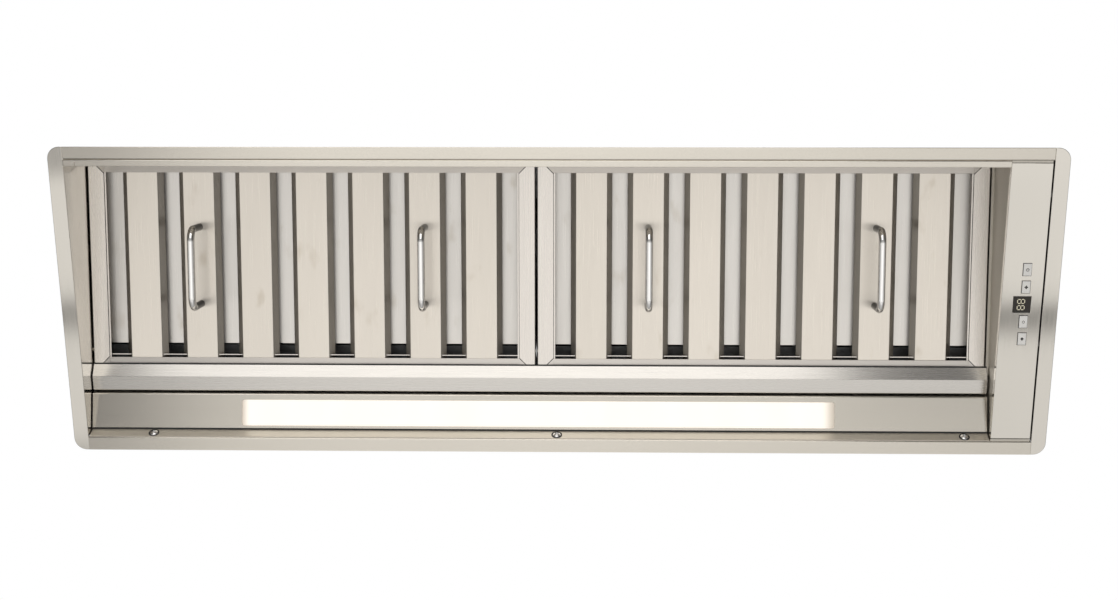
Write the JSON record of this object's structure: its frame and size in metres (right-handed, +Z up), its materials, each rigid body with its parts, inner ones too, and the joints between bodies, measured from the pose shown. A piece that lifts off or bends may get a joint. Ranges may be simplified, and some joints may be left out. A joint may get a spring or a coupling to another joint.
{
  "type": "range hood insert",
  "caption": "Built-in hood liner with swing-down baffle filters, drop-out grease tray, light bar, push-button control strip and ducted blower box.",
  "frame": {"origin": "centre of the flange's underside, which is the lowest plane of the part", "axes": "+X to the cook's right along the length, -Y towards the cook, +Z up, out of the duct collar"},
  "size_m": [1.2, 0.384, 0.3996],
  "materials": {
    "brushed_steel": "warm satin, brushed along the part",
    "tray_steel": "bright satin",
    "frame_steel": "satin",
    "baffle_steel": "bright satin",
    "inner_baffle_steel": "bright satin",
    "strap_steel": "satin",
    "chrome": "polished",
    "screw_steel": "smooth",
    "galvanised": "dull zinc coat",
    "spring_steel": "smooth",
    "magnet": "dark grey",
    "diffuser": "frosted, lit from behind",
    "board": "green board",
    "black_plastic": "moulded",
    "grey_plastic": "moulded",
    "button_plastic": "light silver",
    "window": "dark tinted",
    "motor_paint": "dark satin"
  },
  "bodies": {
    "liner": {"blower_box": "galvanised", "blower_lid": "galvanised", "board_posts": "black_plastic", "cable_gland": "black_plastic", "casing_screws": "screw_steel", "control_board": "board", "control_cheek": "brushed_steel", "control_conduit": "grey_plastic", "control_panel": "brushed_steel", "damper_rod": "screw_steel", "display_module": "black_plastic", "display_window": "window", "duct_collar": "galvanised", "front_lip": "brushed_steel", "front_shell": "brushed_steel", "holding_magnets": "magnet", "inlet_rings": "galvanised", "left_side_shell": "brushed_steel", "light_board": "board", "light_diffuser": "diffuser", "light_driver": "black_plastic", "light_housing": "galvanised", "light_panel": "brushed_steel", "motor": "motor_paint", "motor_bracket": "galvanised", "pivot_pins": "screw_steel", "pivot_rail": "galvanised", "rear_shell": "brushed_steel", "rear_strip": "brushed_steel", "right_side_shell": "brushed_steel", "scroll_sides": "galvanised", "scroll_wrapper": "galvanised", "stop_rail": "galvanised", "strip_screws": "screw_steel", "top_panel": "galvanised", "tray_clips": "spring_steel", "wiring_box": "galvanised", "wiring_cover": "galvanised"},
    "left_filter": {"left_filter_baffle_straps": "strap_steel", "left_filter_frame": "frame_steel", "left_filter_handle_screws": "screw_steel", "left_filter_handles": "chrome", "left_filter_inner_baffles": "inner_baffle_steel", "left_filter_outer_baffles": "baffle_steel"},
    "right_filter": {"right_filter_baffle_straps": "strap_steel", "right_filter_frame": "frame_steel", "right_filter_handle_screws": "screw_steel", "right_filter_handles": "chrome", "right_filter_inner_baffles": "inner_baffle_steel", "right_filter_outer_baffles": "baffle_steel"},
    "grease_tray": {"grease_tray": "tray_steel"},
    "impeller": {"impeller_wheel": "galvanised", "motor_shaft": "screw_steel"},
    "front_flap": {"front_flap": "galvanised"},
    "rear_flap": {"rear_flap": "galvanised"},
    "timer_button": {"timer_button": "button_plastic"},
    "fan_button": {"fan_button": "button_plastic"},
    "power_button": {"power_button": "button_plastic"},
    "light_button": {"light_button": "button_plastic"}
  },
  "joints": [
    {"name": "left_filter_swing", "type": "hinge", "parent": "liner", "child": "left_filter", "pos_m": [0, 0.07901, 0.05572], "axis": [1, 0, 0], "range_deg": [0, 60]},
    {"name": "right_filter_swing", "type": "hinge", "parent": "liner", "child": "right_filter", "pos_m": [0, 0.07901, 0.05572], "axis": [1, 0, 0], "range_deg": [0, 60]},
    {"name": "grease_tray_pull", "type": "slide", "parent": "liner", "child": "grease_tray", "axis": [0, 0, -1], "range_m": [0, 0.08]},
    {"name": "impeller_spin", "type": "hinge", "parent": "liner", "child": "impeller", "pos_m": [0, -0.0216, 0.2514], "axis": [1, 0, 0], "continuous": true},
    {"name": "front_flap_swing", "type": "hinge", "parent": "liner", "child": "front_flap", "pos_m": [0, 0.0459, 0.3756], "axis": [-1, 0, 0], "range_deg": [0, 75]},
    {"name": "rear_flap_swing", "type": "hinge", "parent": "liner", "child": "rear_flap", "pos_m": [0, 0.0459, 0.3756], "axis": [1, 0, 0], "range_deg": [0, 75]},
    {"name": "timer_button_press", "type": "slide", "parent": "liner", "child": "timer_button", "axis": [0, 0, 1], "range_m": [0, 0.0008], "stiffness_N_per_m": 400},
    {"name": "fan_button_press", "type": "slide", "parent": "liner", "child": "fan_button", "axis": [0, 0, 1], "range_m": [0, 0.0008], "stiffness_N_per_m": 400},
    {"name": "power_button_press", "type": "slide", "parent": "liner", "child": "power_button", "axis": [0, 0, 1], "range_m": [0, 0.0008], "stiffness_N_per_m": 400},
    {"name": "light_button_press", "type": "slide", "parent": "liner", "child": "light_button", "axis": [0, 0, 1], "range_m": [0, 0.0008], "stiffness_N_per_m": 400}
  ]
}
